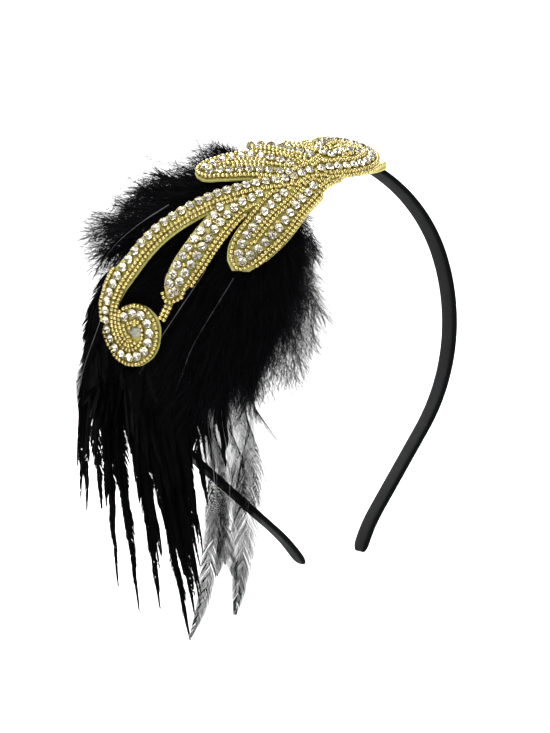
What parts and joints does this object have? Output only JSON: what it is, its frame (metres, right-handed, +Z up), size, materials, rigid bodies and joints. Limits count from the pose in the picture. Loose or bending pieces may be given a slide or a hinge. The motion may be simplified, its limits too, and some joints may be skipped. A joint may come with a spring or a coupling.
{
  "type": "flapper feather headband",
  "caption": "Black satin headband with a gold bead and rhinestone leaf scroll, black marabou fluff and hanging black hackle feathers.",
  "frame": {"origin": "underside of the band at the crown, where it rests on the head", "axes": "+Z up, +X to the right of the picture, the face looks along -Y; the band lies in the XZ plane"},
  "size_m": [0.1476, 0.0401, 0.1622],
  "materials": {
    "satin": "black satin ribbon with a soft sheen",
    "backing_cloth": "greenish yellow backing felt",
    "rhinestones": "clear faceted stones in gold cups",
    "gold_beads": "silver-lined gold seed beads",
    "marabou": "black marabou fluff",
    "hackle": "black rooster hackle feathers"
  },
  "bodies": {
    "root": {"band": "satin", "motif_cloth": "backing_cloth", "stones_front_leaf": "rhinestones", "stones_scroll": "rhinestones", "stones_centre_leaf": "rhinestones", "stones_upper_leaf": "rhinestones", "stones_top_leaf": "rhinestones", "stones_crown_curl": "rhinestones", "beads_front_leaf_edge": "gold_beads", "beads_front_leaf_middle": "gold_beads", "beads_scroll_arm": "gold_beads", "beads_scroll_curl": "gold_beads", "beads_centre_leaf_edge": "gold_beads", "beads_upper_leaf_edge": "gold_beads", "beads_upper_leaf_middle": "gold_beads", "beads_top_leaf": "gold_beads", "beads_crown_curl_inside": "gold_beads", "beads_crown_curl_outside": "gold_beads", "marabou_plume": "marabou", "hackle_plume": "hackle"}
  },
  "joints": []
}
